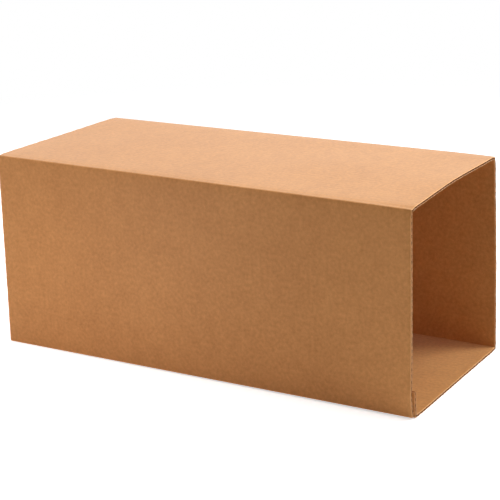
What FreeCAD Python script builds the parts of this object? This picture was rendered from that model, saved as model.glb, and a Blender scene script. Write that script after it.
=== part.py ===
import FreeCAD, Part
import math
import os

# Corrugated cardboard sleeve: one scored and folded sheet of C-flute board, glued along one
# lower edge into a square tube that is open at both ends. It lies on its bottom panel.
# Frame: X runs along the sleeve and its flutes, Y from front to back, Z up.
# The origin is the middle of the bottom panel's underside. All sizes are in millimetres.

# Driving sizes of the folded sleeve
length = 609.6
outer_width = 265.2
outer_height = 265.2

# Driving sizes of the board
board = 4.0
liner = 0.3
medium = 0.25
flute_pitch = 7.95

# Driving sizes of the folds
fold_inner_radius = 0.5
score_margin = 1.0
void_half_angle = 36.0

# Driving sizes of the glued joint at the lower front edge
flap_height = 35.0
joint_gap = 0.5
front_edge_lift = 0.5
glue_end_clearance = 25.0
glue_edge_clearance = 5.0
glue_bite = 0.1

# A flute's tip radius is the same share of its pitch at every pitch, and its round has a few flats
TIP_SHARE = 0.19
TIP_FLATS = 4

# Names of the panels in the order in which the sheet is followed. The first and the last have a
# lengthwise cut edge, and every panel but the last ends in a fold.
panel_names = ["flap", "bottom", "back", "top", "front"]

# Sizes that follow from the driving sizes
fold_outer_radius = fold_inner_radius + board
core = board - 2 * liner
tip_radius = TIP_SHARE * flute_pitch
half_pitch = flute_pitch / 2
pressed_layers = liner + 3 * medium
flap_face_y = -outer_width / 2 + board + joint_gap
far_end_x = -length / 2


def flank_angle():
    """Angle between a flute's straight flank and the liners.

    The medium's middle line is two tip arcs joined by their common inner tangent.
    """
    rise = core - medium - 2 * tip_radius
    tip_distance = math.hypot(half_pitch, rise)
    return math.atan2(rise, half_pitch) + math.asin(2 * tip_radius / tip_distance)


def channel_half_mouth():
    """Half the width of a flute's channel where it meets the liner."""
    angle = flank_angle()
    half_reach = core / 2 / math.tan(angle)
    half_sheet = medium / 2 / math.sin(angle)
    return half_pitch / 2 + half_reach - half_sheet


def walk_sheet():
    """Flat panels of the sheet, followed along the outer face from the flap to the front.

    Each panel is its start, its heading, the direction into the board, and its flat length.
    The heading turns by a quarter at each fold, round a centre inside the sleeve.
    """
    flat_lengths = {
        "flap": flap_height - fold_outer_radius,
        "bottom": outer_width - board - joint_gap - 2 * fold_outer_radius,
        "back": outer_height - 2 * fold_outer_radius,
        "top": outer_width - 2 * fold_outer_radius,
        "front": outer_height - fold_outer_radius - front_edge_lift,
    }
    start = FreeCAD.Vector(far_end_x, flap_face_y, flap_height)
    heading = FreeCAD.Vector(0, 0, -1)
    inward = FreeCAD.Vector(0, 1, 0)
    panels = {}
    for name in panel_names:
        flat_length = flat_lengths[name]
        panels[name] = (start, heading, inward, flat_length)
        fold_centre = start + heading * flat_length + inward * fold_outer_radius
        start = fold_centre + heading * fold_outer_radius
        heading, inward = inward, -heading
    return panels


def board_point(panel, along, depth):
    """A point of a panel's section: distance along the panel, and depth from its outer face."""
    start, heading, inward, flat_length = panel
    return start + heading * along + inward * depth


def fold_centre_of(panel):
    """Centre of the fold that follows a panel."""
    return board_point(panel, panel[3], fold_outer_radius)


def fold_point(panel, radius, angle):
    """A point of the fold after a panel, turned by angle from the middle of the fold."""
    start, heading, inward, flat_length = panel
    turn = math.radians(45 + angle)
    return fold_centre_of(panel) - inward * radius * math.cos(turn) + heading * radius * math.sin(turn)


def channel_points(panel, centre, outer_side):
    """Points of one flute channel, from one corner of its mouth to the other.

    The mouth lies along a liner. Straight flanks run down to a rounded tip, drawn in a few flats.
    """
    angle = flank_angle()
    radius = tip_radius - medium / 2
    tip_depth = core - medium
    turns = [angle * (2 * step / TIP_FLATS - 1) for step in range(TIP_FLATS + 1)]
    spots = [(radius * math.sin(turn), tip_depth - radius * (1 - math.cos(turn))) for turn in turns]
    spots = [(-channel_half_mouth(), 0)] + spots + [(channel_half_mouth(), 0)]
    points = []
    for offset, depth in spots:
        from_face = liner + depth if outer_side else board - liner - depth
        points.append(board_point(panel, centre + offset, from_face))
    return points


def channel_centres(name, flat_length):
    """Where a panel's flute channels are centred, at half a pitch apart.

    In the flap and the front panel they are counted from the cut edge, which halves one channel.
    In the other panels they are centred between the two folds.
    """
    reach = channel_half_mouth() + score_margin
    if name in ("flap", "front"):
        count = int((flat_length - reach) / half_pitch)
        from_edge = [step * half_pitch for step in range(1, count + 1)]
        return from_edge if name == "flap" else [flat_length - along for along in from_edge]
    count = int((flat_length - 2 * reach) / half_pitch)
    return [flat_length / 2 + (step - count / 2) * half_pitch for step in range(count + 1)]


def channel_wires():
    """Outlines of all flute channels, which open to the inner and the outer liner by turns."""
    wires = []
    for name, panel in walk_sheet().items():
        for step, centre in enumerate(channel_centres(name, panel[3])):
            points = channel_points(panel, centre, step % 2 == 1)
            wires.append(Part.makePolygon(points + points[:1]))
    return wires


def fold_void_wires():
    """Outlines of the lens-shaped gaps that the crushed flutes leave inside the four folds."""
    wires = []
    for name, panel in walk_sheet().items():
        if name == "front":
            continue
        roof = fold_outer_radius - liner
        first = fold_point(panel, roof, -void_half_angle)
        last = fold_point(panel, roof, void_half_angle)
        outer_arc = Part.Arc(first, fold_point(panel, roof, 0), last)
        inner_arc = Part.Arc(last, fold_point(panel, fold_inner_radius + pressed_layers, 0), first)
        wires.append(Part.Wire([outer_arc.toShape(), inner_arc.toShape()]))
    return wires


def face_edges(depth, radius):
    """Edges of one face of the sheet, outer or inner: straight panels joined by fold arcs."""
    edges = []
    for name, panel in walk_sheet().items():
        flat = Part.LineSegment(board_point(panel, 0, depth), board_point(panel, panel[3], depth))
        edges.append(flat.toShape())
        if name != "front":
            arc = Part.Arc(fold_point(panel, radius, -45), fold_point(panel, radius, 0),
                           fold_point(panel, radius, 45))
            edges.append(arc.toShape())
    return edges


def cut_edge(panel, along):
    """Line across a cut edge of the sheet, where the cut opens half a channel lengthwise."""
    points = channel_points(panel, along, True)
    middle = len(points) // 2
    half_channel = points[middle:][::-1] if along == 0 else points[:middle + 1]
    lip = [board_point(panel, along, 0), board_point(panel, along, liner)]
    return Part.makePolygon(lip + half_channel + [board_point(panel, along, board)])


def sheet_outline():
    """Closed outline of the folded sheet's section, with its two cut edges."""
    panels = walk_sheet()
    edges = face_edges(0, fold_outer_radius) + face_edges(board, fold_inner_radius)
    edges += cut_edge(panels["flap"], 0).Edges
    edges += cut_edge(panels["front"], panels["front"][3]).Edges
    return Part.Wire(Part.__sortEdges__(edges))


def glue_strip():
    """Glue between the flap and the front panel, bitten a little into both liners."""
    width = joint_gap + 2 * glue_bite
    bottom = fold_outer_radius + glue_edge_clearance
    height = flap_height - glue_edge_clearance - bottom
    run = length - 2 * glue_end_clearance
    corner = FreeCAD.Vector(far_end_x + glue_end_clearance, flap_face_y - joint_gap - glue_bite, bottom)
    return Part.makeBox(run, width, height, corner)


def sleeve():
    """The whole folded sheet, with open channels through its length, closed by the glue strip."""
    section = Part.Face([sheet_outline()] + channel_wires() + fold_void_wires())
    sheet = section.extrude(FreeCAD.Vector(length, 0, 0))
    return sheet.fuse(glue_strip())


os.makedirs("parts", exist_ok=True)
sleeve().exportStep("parts/sleeve.step")
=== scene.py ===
import math

import bpy
import numpy as np
from mathutils import Matrix, Vector


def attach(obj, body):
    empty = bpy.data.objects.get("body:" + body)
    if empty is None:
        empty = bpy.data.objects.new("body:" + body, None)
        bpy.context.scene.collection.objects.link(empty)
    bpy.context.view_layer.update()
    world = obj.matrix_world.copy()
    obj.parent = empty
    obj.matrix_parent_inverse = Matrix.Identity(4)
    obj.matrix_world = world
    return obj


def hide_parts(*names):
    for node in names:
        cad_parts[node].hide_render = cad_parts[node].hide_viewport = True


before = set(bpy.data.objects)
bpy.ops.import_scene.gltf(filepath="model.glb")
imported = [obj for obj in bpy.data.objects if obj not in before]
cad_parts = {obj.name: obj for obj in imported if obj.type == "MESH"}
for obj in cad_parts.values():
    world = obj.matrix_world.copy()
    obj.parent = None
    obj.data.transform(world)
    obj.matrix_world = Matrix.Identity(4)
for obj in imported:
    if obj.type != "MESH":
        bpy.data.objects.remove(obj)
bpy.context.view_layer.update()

# Outer liner: the brown kraft paper that is the outside of the sleeve. One sheet of it runs from
# the glue flap round the bottom, back, top and front panels, and is scored and folded four times.
# It is glued to the tips of the flutes, and is cut off square with them at both open ends.
MM = 0.001
length = 609.6 * MM
outer_width = 265.2 * MM
outer_height = 265.2 * MM
board = 4.0 * MM
liner = 0.3 * MM
medium_thickness = 0.25 * MM
flute_pitch = 7.95 * MM
fold_radius = 4.5 * MM
fold_squareness = 3.6
flap_height = 35.0 * MM
joint_gap = 0.5 * MM
front_edge_lift = 0.5 * MM
core = board - 2 * liner

flat_lengths = np.array([
    flap_height - fold_radius,
    outer_width - board - joint_gap - 2 * fold_radius,
    outer_height - 2 * fold_radius,
    outer_width - 2 * fold_radius,
    outer_height - fold_radius - front_edge_lift,
])
fold_arc = fold_radius * math.pi / 2
panel_starts = np.concatenate([[0.0], np.cumsum(flat_lengths[:-1] + fold_arc)])
sheet_end = panel_starts[-1] + flat_lengths[-1]
FLAP, BOTTOM, BACK, TOP, FRONT = range(5)

# In each panel the sheet heads this way (Y, Z) when it is followed from the flap to the front.
headings = np.array([[0, -1], [1, 0], [0, 1], [-1, 0], [0, -1]], float)
inwards = np.array([[1, 0], [0, 1], [-1, 0], [0, -1], [1, 0]], float)
first_start = np.array([-outer_width / 2 + board + joint_gap, flap_height])


def panel_corners():
    """Where each panel starts: the last start, plus its flat along the heading and one radius
    each along the heading and inwards, for the fold."""
    corners = [first_start]
    for number in range(FRONT):
        step = headings[number] * (flat_lengths[number] + fold_radius)
        corners.append(corners[-1] + step + inwards[number] * fold_radius)
    return np.array(corners)


corners = panel_corners()


def sheet_section(along, depth):
    """Place (Y, Z) of the sheet, its outward direction, panel number and share of the panel.

    The flat part of a panel is start + heading * along + inward * depth. In the fold after it
    the point turns round the fold's centre by angle = arc / radius, at squared radius - depth,
    where squared radius = radius / (cos^n + sin^n)^(1/n): a scored fold is squarer than an arc.
    """
    number = np.clip(np.searchsorted(panel_starts, along, side="right") - 1, FLAP, FRONT)
    local = along - panel_starts[number]
    flat = np.minimum(local, flat_lengths[number])
    angle = (local - flat) / fold_radius
    heading = headings[number]
    inward = inwards[number]
    outward = heading * np.sin(angle)[..., None] - inward * np.cos(angle)[..., None]
    place = corners[number] + heading * flat[..., None] + inward * fold_radius
    power = fold_squareness
    round_off = (np.cos(angle) ** power + np.abs(np.sin(angle)) ** power) ** (-1 / power)
    place = place + outward * (fold_radius * round_off - depth)[..., None]
    return place, outward, number, flat / flat_lengths[number]


def from_fold(along):
    """Distance along the sheet to the nearest fold, which is 0 inside a fold."""
    first = panel_starts[1:] - fold_arc
    last = panel_starts[1:]
    away = np.maximum(np.maximum(first - along[..., None], along[..., None] - last), 0)
    return away.min(axis=-1)


def near_fold(along, reach):
    """One inside a fold, falling as a bell over the given reach in the flats beside it."""
    return np.exp(-(from_fold(along) / reach) ** 2)


def beside_fold(along, reach):
    """One inside a fold, falling as exp(-distance / reach) in the flats beside it."""
    return np.exp(-from_fold(along) / reach)


tip_flatness = 1.15


def flute_wave(along):
    """The flutes' wave from -1 at the outer liner to 1 at the inner: a sine with flattened tips.

    It is tanh(flatness * sine) / tanh(flatness).
    """
    wave = np.sin(2 * math.pi * along / flute_pitch)
    return np.tanh(tip_flatness * wave) / math.tanh(tip_flatness)


swell_seed = 3
swell_strengths = (0.4, 0.3, 0.2, 0.1)
shortest_swell = 90 * MM
longest_swell = 260 * MM


def ripple(across, along):
    """Smooth uneven height from -1 to 1: a sum of four sines of mixed direction and phase."""
    draw = np.random.default_rng(swell_seed)
    total = 0.0
    for strength in swell_strengths:
        turn = draw.uniform(0, 2 * math.pi)
        phase = draw.uniform(0, 2 * math.pi)
        wave_length = draw.uniform(shortest_swell, longest_swell)
        run = across * math.cos(turn) + along * math.sin(turn)
        total = total + strength * np.sin(2 * math.pi * run / wave_length + phase)
    return total


# How far the folded sleeve stands out of true. The two cuts run along X by these distances at the
# flap's edge, at the four folds in turn, and at the front panel's edge.
far_cut = np.array([-1.9, -2.2, -0.3, 1.6, -0.9, -3.2]) * MM
near_cut = np.array([4.3, 5.2, 0.7, -3.8, 2.0, 3.6]) * MM
cut_stops = np.concatenate([[0.0], panel_starts[1:] - fold_arc / 2, [sheet_end]])

# The section leans by the rack and widens by the flare, given for the far and the near end. The
# twist lifts the top's back corner and lowers its front one at the near end, and the other way
# round at the far end. The front panel's lower edge rises towards the near end.
rack = (2.31 * MM, 0.63 * MM)
flare = (2.12 * MM, -0.73 * MM)
twist = 1.36 * MM
front_edge_rise = 2.5 * MM

# Heights of the soft forms in the panels and folds. Most of them fade from the near end inwards,
# over the reach that goes with them.
panel_swell = 0.4 * MM
front_bulge = 4.2 * MM
bulge_height = 30 * MM
bulge_fade = 70 * MM
bulge_reach = 80 * MM
top_bow = 2.7 * MM
back_bow = 1.5 * MM
bow_reach = 150 * MM
flap_spring = 0.5 * MM
spring_reach = 60 * MM
score_dip = 0.8 * MM
score_reach = 6 * MM
fold_slump = 0.9 * MM
slump_reach = 30 * MM

# Wear along the two cuts: the board is pressed thinner by an uneven share of its thickness, and
# the line of the cut wanders. The crush waves are rates in radians per metre of sheet, and each
# wander wave is its share, its rate and its phase.
cut_crush = 0.2
crush_reach = 1.2 * MM
crush_unevenness = 0.5
crush_waves = (410.0, 173.0)
cut_wander = 0.15 * MM
wander_reach = 2 * MM
wander_waves = ((0.5, 97.0, 0.0), (0.5, 233.0, 1.0), (0.3, 611.0, 0.0))


def from_far_to_near(ends, near_share):
    """A value that goes evenly from the far end's to the near end's."""
    return ends[0] * (1 - near_share) + ends[1] * near_share


def folded_sheet(x, along, depth):
    """Places (X, Y, Z) of the sheet in the folded, slightly used sleeve.

    The true section is carried along X, and the board is pressed thinner by a bell of the distance
    to the cut. Each point then moves outwards by its swell. The panels' swell and bows follow sine
    squared across a panel, the bulge grows evenly up to its height and fades above it, and the
    flap's spring grows evenly to its free edge. The folds' slump and the scores' dip are taken
    off. What belongs to the near end fades as exp(-distance / reach). Last, the sleeve is moved
    out of true: X by the cuts, Y by rack and flare times the distance from the middle as a share,
    and Z by the twist and by the front panel's rise times its share squared.
    """
    x, along, depth = np.broadcast_arrays(x, along, depth)
    to_end = length / 2 - np.abs(x)
    to_near = length / 2 - x
    near_share = x / length + 0.5
    uneven = crush_unevenness * np.sin(along * crush_waves[0]) * np.sin(along * crush_waves[1])
    pressed = cut_crush * np.exp(-(to_end / crush_reach) ** 2) * (1 + uneven)
    depth = board / 2 + (depth - board / 2) * (1 - pressed)
    place, outward, number, share = sheet_section(along, depth)

    middle = np.sin(math.pi * np.clip(share, 0, 1)) ** 2
    swell = panel_swell * middle * ripple(x, along)
    swell = swell + top_bow * middle * (number == TOP) * np.exp(-to_near / bow_reach)
    swell = swell + back_bow * middle * (number == BACK) * np.exp(-to_near / bow_reach)
    height = place[..., 1]
    bulge = np.minimum(height / bulge_height, np.exp((bulge_height - height) / bulge_fade))
    swell = swell + front_bulge * bulge * (number == FRONT) * np.exp(-to_near / bulge_reach)
    slump = fold_slump * np.exp(-to_near / slump_reach)
    swell = swell - slump * near_fold(along, score_reach) * (height > outer_height / 2)
    swell = swell - score_dip * beside_fold(along, score_reach)
    free = np.clip(1 - along / flat_lengths[FLAP], 0, 1)
    swell = swell + flap_spring * free * (number == FLAP) * np.exp(-to_near / spring_reach)
    y = place[..., 0] + outward[..., 0] * swell
    z = place[..., 1] + outward[..., 1] * swell

    back_share = y / outer_width + 0.5
    up_share = z / outer_height
    wander = sum(part * np.sin(along * rate + phase) for part, rate, phase in wander_waves)
    wander = wander * cut_wander * np.exp(-to_end / wander_reach) * np.sign(x)
    cuts = np.interp(along, cut_stops, far_cut), np.interp(along, cut_stops, near_cut)
    new_x = x + wander + from_far_to_near(cuts, near_share)
    new_y = y + from_far_to_near(rack, near_share) * (up_share - 0.5)
    new_y = new_y + from_far_to_near(flare, near_share) * (back_share - 0.5)
    new_z = z + twist * up_share * (2 * near_share - 1) * (2 * back_share - 1)
    new_z = new_z + front_edge_rise * near_share * share ** 2 * (number == FRONT)
    return np.stack([new_x, new_y, new_z], axis=-1)


def stations(from_cut, middle_count):
    """Places along X: at the given distances from each cut end, then in even steps between."""
    reach = length / 2 - from_cut
    middle = np.linspace(-reach[-1], reach[-1], middle_count + 2)[1:-1]
    return np.concatenate([-reach, middle, reach[::-1]])


fold_parts = 8


def sheet_steps(per_flute):
    """Distances along the sheet: whole parts of a flute in the flats, and even parts in a fold."""
    steps = []
    for start, flat in zip(panel_starts, flat_lengths):
        count = int(round(flat / flute_pitch * per_flute))
        steps.append(np.linspace(start, start + flat, count, endpoint=False))
        steps.append(np.linspace(start + flat, start + flat + fold_arc, fold_parts, endpoint=False))
    return np.concatenate(steps[:-1] + [np.array([sheet_end])])


burr_reach = 0.7 * MM
sharp_angle = math.radians(40)


def paper_layer(name, x, sides, held, burr, material):
    """A closed sheet of paper between two faces given as (along, depth) for each side.

    Point (side, station, step) is folded_sheet(x[station], along[step], depth). The knife leaves
    a burr: depth = held depth + (depth - held depth) * (1 + burr * bell of the distance to the
    cut), where the held depth lies at the held share between the faces. Quads join neighbours on
    both faces, and close the two cut ends and the two lengthwise edges.
    """
    across = x[:, None]
    thicker = 1 + burr * np.exp(-((length / 2 - np.abs(across)) / burr_reach) ** 2)
    kept = sides[0][1] * (1 - held) + sides[1][1] * held
    faces_flat = []
    for along, depth in sides:
        burred = kept + (depth - kept) * thicker
        faces_flat.append(np.stack(np.broadcast_arrays(across, along, burred), axis=-1))
    where = np.stack(faces_flat)
    points = folded_sheet(where[..., 0], where[..., 1], where[..., 2])
    index = np.arange(points[..., 0].size).reshape(points.shape[:3])

    def quads(a, b, c, d):
        """One face for each place in four equal grids of corner numbers."""
        return np.stack([a, b, c, d], axis=-1).reshape(-1, 4)

    out, inn = index
    faces = np.concatenate([
        quads(out[:-1, :-1], out[:-1, 1:], out[1:, 1:], out[1:, :-1]),
        quads(inn[:-1, :-1], inn[1:, :-1], inn[1:, 1:], inn[:-1, 1:]),
        quads(out[-1, :-1], out[-1, 1:], inn[-1, 1:], inn[-1, :-1]),
        quads(out[0, :-1], inn[0, :-1], inn[0, 1:], out[0, 1:]),
        quads(out[:-1, 0], out[1:, 0], inn[1:, 0], inn[:-1, 0]),
        quads(out[:-1, -1], inn[:-1, -1], inn[1:, -1], out[1:, -1]),
    ])
    mesh = bpy.data.meshes.new(name)
    mesh.vertices.add(index.size)
    mesh.vertices.foreach_set("co", points.astype(np.float32).ravel())
    mesh.loops.add(faces.size)
    mesh.loops.foreach_set("vertex_index", faces.astype(np.int32).ravel())
    mesh.polygons.add(len(faces))
    mesh.polygons.foreach_set("loop_start", np.arange(0, faces.size, 4, dtype=np.int32))
    mesh.polygons.foreach_set("use_smooth", np.ones(len(faces), bool))
    mesh.update(calc_edges=True)
    mesh.set_sharp_from_angle(angle=sharp_angle)
    place = mesh.attributes.new("sheet_place", "FLOAT_VECTOR", "POINT")
    place.data.foreach_set("vector", where.astype(np.float32).ravel())
    mesh.validate()
    mesh.materials.append(material)
    piece = bpy.data.objects.new(name, mesh)
    bpy.context.scene.collection.objects.link(piece)
    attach(piece, "root")
    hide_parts("sleeve")


# The marks in the paper, from hair-fine to broad: how often each repeats in a metre along the
# sleeve, round it and through the board, its detail, and its weight in the colour.
hair_mark = ((2600, 700, 1500), 2, 0.46)
streak_mark = ((900, 380, 700), 2, 0.37)
fleck_mark = ((230, 210, 240), 1, 0.92)
blotch_mark = ((60, 42, 60), 2, 0.46)
cloud_mark = ((9, 7, 9), 2, 0.46)
paper_marks = (hair_mark, streak_mark, fleck_mark, blotch_mark, cloud_mark)
paper_gloss = 0.22
sheen_softness = 0.4
# How far the paler band along each cut reaches: torn fibres, and partly a painted highlight.
torn_and_highlight_reach = 1.6 * MM
torn_and_highlight_fully = 0.1 * torn_and_highlight_reach
streak_relief = 0.6
relief_strength = 0.25
relief_height = 0.1 * MM


def kraft_paper(name, dark, light, torn_and_highlight, roughness, sheen):
    """Brown kraft paper, drawn on the flat sheet's own place (X, along, depth).

    Five sizes of uneven fibre, from hair-fine streaks across the flutes to broad clouds, are added
    up, each weighed and taken from its mean of one half. They mix a darker, redder brown with a
    lighter, yellower one. Within a millimetre or so of a cut the colour goes to the paler torn
    one: partly torn fibres, and partly a painted highlight for the light that the cut edges catch.
    The two finest sizes also roughen the surface.
    """
    material = bpy.data.materials.new(name)
    material.use_nodes = True
    nodes = material.node_tree.nodes
    links = material.node_tree.links
    surface = nodes["Principled BSDF"]
    surface.inputs["Roughness"].default_value = roughness
    surface.inputs["Specular IOR Level"].default_value = paper_gloss
    surface.inputs["Sheen Weight"].default_value = sheen
    surface.inputs["Sheen Roughness"].default_value = sheen_softness
    place = nodes.new("ShaderNodeAttribute")
    place.attribute_name = "sheet_place"

    def number(operation, first, second, third=0.0):
        """What a Math node gives. A plain number is set on its socket, and an output is linked."""
        node = nodes.new("ShaderNodeMath")
        node.operation = operation
        for socket, value in zip(node.inputs, (first, second, third)):
            if isinstance(value, float):
                socket.default_value = value
            else:
                links.new(value, socket)
        return node.outputs[0]

    def fibre(stretch, detail):
        """Noise from 0 to 1 on the sheet's place, repeated as often as the stretch says."""
        scaled = nodes.new("ShaderNodeMapping")
        scaled.inputs["Scale"].default_value = stretch
        noise = nodes.new("ShaderNodeTexNoise")
        noise.inputs["Scale"].default_value = 1.0
        noise.inputs["Detail"].default_value = detail
        links.new(place.outputs["Vector"], scaled.inputs["Vector"])
        links.new(scaled.outputs["Vector"], noise.inputs["Vector"])
        return noise.outputs["Fac"]

    def mixed(share, first, second):
        """A colour that goes from the first to the second with the share."""
        mix = nodes.new("ShaderNodeMix")
        mix.data_type = "RGBA"
        for key, colour in (("A", first), ("B", second)):
            if isinstance(colour, tuple):
                mix.inputs[key].default_value = (*colour, 1)
            else:
                links.new(colour, mix.inputs[key])
        links.new(share, mix.inputs["Factor"])
        return mix.outputs["Result"]

    marks = [fibre(stretch, detail) for stretch, detail, weight in paper_marks]
    weights = [weight for stretch, detail, weight in paper_marks]
    total = (1 - sum(weights)) / 2
    for mark, weight in zip(marks, weights):
        total = number("MULTIPLY_ADD", mark, weight, total)
    tone = mixed(total, dark, light)

    # Painted highlight along the cuts, partly real torn fibres: the colour goes to the paler torn one
    # near each cut end and lengthwise edge.
    parts = nodes.new("ShaderNodeSeparateXYZ")
    links.new(place.outputs["Vector"], parts.inputs["Vector"])
    edge = None
    for key, middle, reach in (("X", 0.0, length / 2), ("Y", float(sheet_end / 2), sheet_end / 2)):
        off_middle = number("ABSOLUTE", number("SUBTRACT", parts.outputs[key], middle), 0.0)
        ramp = nodes.new("ShaderNodeMapRange")
        ramp.interpolation_type = "SMOOTHSTEP"
        ramp.inputs["From Min"].default_value = reach - torn_and_highlight_reach
        ramp.inputs["From Max"].default_value = reach - torn_and_highlight_fully
        links.new(off_middle, ramp.inputs["Value"])
        share = ramp.outputs["Result"]
        edge = share if edge is None else number("MAXIMUM", edge, share)
    links.new(mixed(edge, tone, torn_and_highlight), surface.inputs["Base Color"])

    hair, streak = marks[:2]
    bump = nodes.new("ShaderNodeBump")
    bump.inputs["Strength"].default_value = relief_strength
    bump.inputs["Distance"].default_value = relief_height
    links.new(number("MULTIPLY_ADD", streak, streak_relief, hair), bump.inputs["Height"])
    links.new(bump.outputs["Normal"], surface.inputs["Normal"])
    return material


kraft_dark = (0.452, 0.172, 0.040)
kraft_light = (0.690, 0.298, 0.087)
# Paler liner colour at the cuts: torn fibres, and partly a painted highlight for the light that the cut
# edges catch.
torn_kraft_and_highlight = (0.82, 0.385, 0.135)
kraft = kraft_paper("kraft_liner_paper", kraft_dark, kraft_light, torn_kraft_and_highlight, roughness=0.5, sheen=0.30)
near_the_cut = np.array([0, 0.25, 0.6, 1.1, 2.0, 4.0, 9.0, 18.0, 30.0]) * MM
x_stations = stations(near_the_cut, middle_count=24)
liner_steps = sheet_steps(per_flute=6)
washboard = 0.05 * MM
washboard_fade = 2 * MM
cut_burr = 1.2
flat_share = 1 - near_fold(liner_steps, washboard_fade)
sag_out = washboard * (1 + flute_wave(liner_steps)) / 2 * flat_share
paper_layer("outer_liner", x_stations, [
    (liner_steps, sag_out),
    (liner_steps, sag_out + liner),
], held=0, burr=cut_burr, material=kraft)

# Medium: the wavy paper in the middle of the board, whose flutes run along the sleeve.
# It is thinner than the liners and darker: partly its own colour, and partly painted shade for the
# flute hollows where it shows at the cut ends. Its paler colour at the cuts is torn fibres and partly
# a painted highlight. Its tips are glued to the liners by turns, and at each score it is crushed
# flat against the inner liner.
# Darker than the liners partly as painted shade for the flute hollows; the torn colour is partly a
# painted highlight.
medium_dark_painted_shade = (0.20, 0.066, 0.014)
medium_light_painted_shade = (0.33, 0.122, 0.030)
torn_medium_and_highlight = (0.40, 0.138, 0.032)
medium_paper_painted_shade = kraft_paper("kraft_medium_paper_painted_shade", medium_dark_painted_shade, medium_light_painted_shade, torn_medium_and_highlight,
                           roughness=0.7, sheen=0.0)
crushed_width = 2.5 * MM
wave_steps = sheet_steps(per_flute=8)
standing = 1 - near_fold(wave_steps, crushed_width)
half_paper = medium_thickness / 2
swing = (core - medium_thickness) / 2
crushed_depth = board - liner - 2 * half_paper
middle_depth = board / 2 + (crushed_depth - board / 2) * (1 - standing)
middle_depth = middle_depth + swing * standing * flute_wave(wave_steps)
slope = np.gradient(middle_depth, wave_steps)
lean_over = 1 / np.sqrt(1 + slope ** 2)
step_back = slope * lean_over * half_paper
step_back[[0, -1]] = 0
paper_layer("medium", x_stations, [
    (wave_steps + step_back, middle_depth - lean_over * half_paper),
    (wave_steps - step_back, middle_depth + lean_over * half_paper),
], held=0.5, burr=0, material=medium_paper_painted_shade)

# Inner liner: the same kraft paper on the inside of the sleeve. It is glued to the flutes'
# inner tips, and is pressed into a tight bend at each fold.
sag_in = washboard * (1 - flute_wave(liner_steps)) / 2 * flat_share
paper_layer("inner_liner", x_stations, [
    (liner_steps, board - liner - sag_in),
    (liner_steps, board - sag_in),
], held=1, burr=cut_burr, material=kraft)

# Joint glue: the dried line of glue between the flap's outer face and the inside of the front
# panel. It stops short of the cut ends and of the flap's edges, and holds the sleeve closed.
glue_dark = (0.40, 0.25, 0.13)
glue_light = (0.55, 0.38, 0.22)
dried_glue = kraft_paper("dried_glue", glue_dark, glue_light, glue_light, roughness=0.45, sheen=0.0)
glue_end_clearance = 25.0 * MM
glue_edge_clearance = 5.0 * MM
glue_bite = 0.1 * MM
glue_top = flap_height - glue_edge_clearance
glue_foot = fold_radius + glue_edge_clearance
glue_first = panel_starts[FRONT] + outer_height - fold_radius - glue_top
glue_reach = length / 2 - glue_end_clearance
glue_steps = np.linspace(glue_first, glue_first + glue_top - glue_foot, num=12)
glue_stations = np.linspace(-glue_reach, glue_reach, num=30)
even = np.ones_like(glue_steps)
paper_layer("joint_glue", glue_stations, [
    (glue_steps, even * (board - glue_bite)),
    (glue_steps, even * (board + joint_gap + glue_bite)),
], held=0.5, burr=0, material=dried_glue)

# Floor and backdrop: a plain warm white floor that runs out of sight, under a plain white sky.
# It takes the sleeve's soft shadow and throws some light back up at the panels. Far from the
# sleeve it is seen as plain white, like the sky.
floor_reach = 30.0
floor_white = (0.94, 0.90, 0.85, 1)
floor_lift = 0.60
plain_from = 0.7
plain_beyond = 1.8
floor_mesh = bpy.data.meshes.new("floor")
floor_mesh.from_pydata([(-floor_reach, -floor_reach, 0), (floor_reach, -floor_reach, 0),
                        (floor_reach, floor_reach, 0), (-floor_reach, floor_reach, 0)],
                       [], [(0, 1, 2, 3)])
floor = bpy.data.objects.new("floor", floor_mesh)
bpy.context.scene.collection.objects.link(floor)
floor_paint = bpy.data.materials.new("white_floor")
floor_paint.use_nodes = True
nodes = floor_paint.node_tree.nodes
links = floor_paint.node_tree.links
matt = nodes["Principled BSDF"]
matt.inputs["Base Color"].default_value = floor_white
matt.inputs["Roughness"].default_value = 1.0
matt.inputs["Specular IOR Level"].default_value = 0.0


def seen_itself(nodes, links):
    """One for a ray that shows the surface itself: the most of camera, glossy and transmission."""
    rays = nodes.new("ShaderNodeLightPath")
    most = rays.outputs["Is Camera Ray"]
    for kind in ("Is Glossy Ray", "Is Transmission Ray"):
        larger = nodes.new("ShaderNodeMath")
        larger.operation = "MAXIMUM"
        links.new(most, larger.inputs[0])
        links.new(rays.outputs[kind], larger.inputs[1])
        most = larger.outputs[0]
    return most


def one_or_other(nodes, links, share, first, second):
    """A shader that goes from the first to the second with the share."""
    mix = nodes.new("ShaderNodeMixShader")
    links.new(share, mix.inputs["Fac"])
    links.new(first, mix.inputs[1])
    links.new(second, mix.inputs[2])
    return mix.outputs[0]


lift = nodes.new("ShaderNodeEmission")
lift.inputs["Strength"].default_value = floor_lift
lifted = nodes.new("ShaderNodeAddShader")
links.new(matt.outputs[0], lifted.inputs[0])
links.new(lift.outputs[0], lifted.inputs[1])
plain_white = nodes.new("ShaderNodeEmission")
floor_place = nodes.new("ShaderNodeTexCoord")
distance = nodes.new("ShaderNodeVectorMath")
distance.operation = "LENGTH"
links.new(floor_place.outputs["Object"], distance.inputs[0])
far_share = nodes.new("ShaderNodeMapRange")
far_share.interpolation_type = "SMOOTHSTEP"
far_share.inputs["From Min"].default_value = plain_from
far_share.inputs["From Max"].default_value = plain_beyond
links.new(distance.outputs["Value"], far_share.inputs["Value"])
near_or_far = one_or_other(nodes, links, far_share.outputs["Result"],
                           lifted.outputs[0], plain_white.outputs[0])
floor_look = one_or_other(nodes, links, seen_itself(nodes, links), matt.outputs[0], near_or_far)
links.new(floor_look, nodes["Material Output"].inputs["Surface"])
floor_mesh.materials.append(floor_paint)

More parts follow.
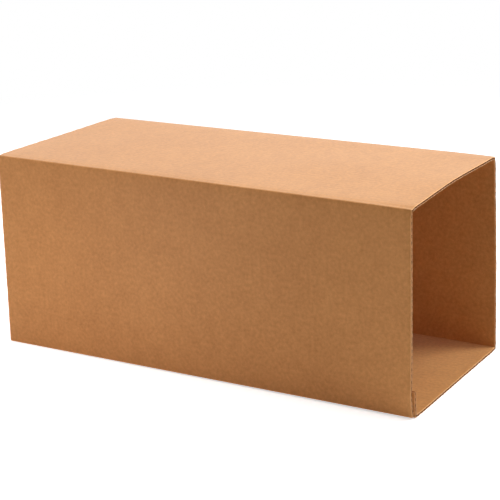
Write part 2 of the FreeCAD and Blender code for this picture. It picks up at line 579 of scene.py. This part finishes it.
# Studio light: a large key lamp high behind the open end, two wide ones overhead, a broad soft one
# at the left, weaker ones at the open end and behind, and a small card low in front. The key and
# the overhead lamps are a little cool. The surround is dark, but the sky is seen as plain white.
world = bpy.data.worlds.new("studio_surround")
bpy.context.scene.world = world
world.use_nodes = True
nodes = world.node_tree.nodes
links = world.node_tree.links
surround = nodes["Background"]
surround.inputs["Color"].default_value = (1, 1, 1, 1)
surround.inputs["Strength"].default_value = 0.0
sky = nodes.new("ShaderNodeBackground")
sky.inputs["Color"].default_value = (1, 1, 1, 1)
sky.inputs["Strength"].default_value = 1.0
world_look = one_or_other(nodes, links, seen_itself(nodes, links), surround.outputs[0], sky.outputs[0])
links.new(world_look, nodes["World Output"].inputs["Surface"])
sleeve_middle = Vector((0, 0, outer_height / 2))


def soft_lamp(name, place, aim, size, watts, colour):
    """A square lamp of one size at a place, turned to face the aim."""
    light = bpy.data.lights.new(name, "AREA")
    light.shape = "SQUARE"
    light.size = size
    light.energy = watts
    light.color = colour
    lamp = bpy.data.objects.new(name, light)
    lamp.location = place
    lamp.rotation_mode = "QUATERNION"
    lamp.rotation_quaternion = (place - aim).to_track_quat("Z", "Y")
    lamp.visible_camera = False
    bpy.context.scene.collection.objects.link(lamp)


def from_sleeve(side, height, distance):
    """A place at a distance from the sleeve's middle.

    Side is the angle from +X towards +Y and height the angle up, both in degrees.
    """
    side, height = math.radians(side), math.radians(height)
    flat = math.cos(height)
    away = Vector((math.cos(side) * flat, math.sin(side) * flat, math.sin(height)))
    return sleeve_middle + away * distance


white = (1.0, 1.0, 1.0)
soft_lamp("key_lamp", from_sleeve(36.4, 42, 2.6), sleeve_middle,
          size=1.0, watts=46, colour=(0.73, 0.88, 1.0))
soft_lamp("overhead_lamp", from_sleeve(30, 70, 2.6), sleeve_middle,
          size=1.2, watts=32.5, colour=(0.76, 0.88, 1.0))
soft_lamp("top_left_lamp", from_sleeve(180, 75, 2.6), sleeve_middle,
          size=1.2, watts=31, colour=(0.86, 0.90, 1.0))
soft_lamp("right_lamp", from_sleeve(0, 15, 2.8), sleeve_middle, size=1.2, watts=8, colour=white)
soft_lamp("left_lamp", from_sleeve(-165, 20, 3.0), sleeve_middle,
          size=1.8, watts=42.5, colour=(1.0, 0.95, 0.93))
soft_lamp("back_lamp", from_sleeve(110, 25, 2.8), sleeve_middle, size=1.6, watts=6, colour=white)
soft_lamp("back_left_lamp", from_sleeve(150, 30, 2.8), sleeve_middle, size=1.6, watts=6, colour=white)
card_place = Vector((-0.25, -0.50, 0.08))
card_aim = Vector((-0.2, -0.13, 0))
soft_lamp("low_card", card_place, card_aim, size=0.25, watts=0.40, colour=(0.90, 0.91, 1.0))

# Camera: a long lens at the height and side that the sleeve is looked at from, with no shift.
camera_place = Vector((1.07015, -1.72232, 0.76728))
camera_azimuth = 31.717
camera_elevation = 17.308
camera_roll = -1.932
focal_pixels = 1584.9
picture_pixels = 500
sensor_width = 36.0
camera_data = bpy.data.cameras.new("camera")
camera_data.sensor_width = sensor_width
camera_data.lens = focal_pixels / picture_pixels * sensor_width
camera = bpy.data.objects.new("camera", camera_data)
turn = Matrix.Rotation(math.radians(camera_azimuth), 4, "Z")
tilt = Matrix.Rotation(math.radians(90 - camera_elevation), 4, "X")
roll = Matrix.Rotation(math.radians(camera_roll), 4, "Z")
camera.matrix_world = Matrix.Translation(camera_place) @ turn @ tilt @ roll
bpy.context.scene.collection.objects.link(camera)
bpy.context.scene.camera = camera
bpy.context.scene.view_settings.view_transform = "Standard"
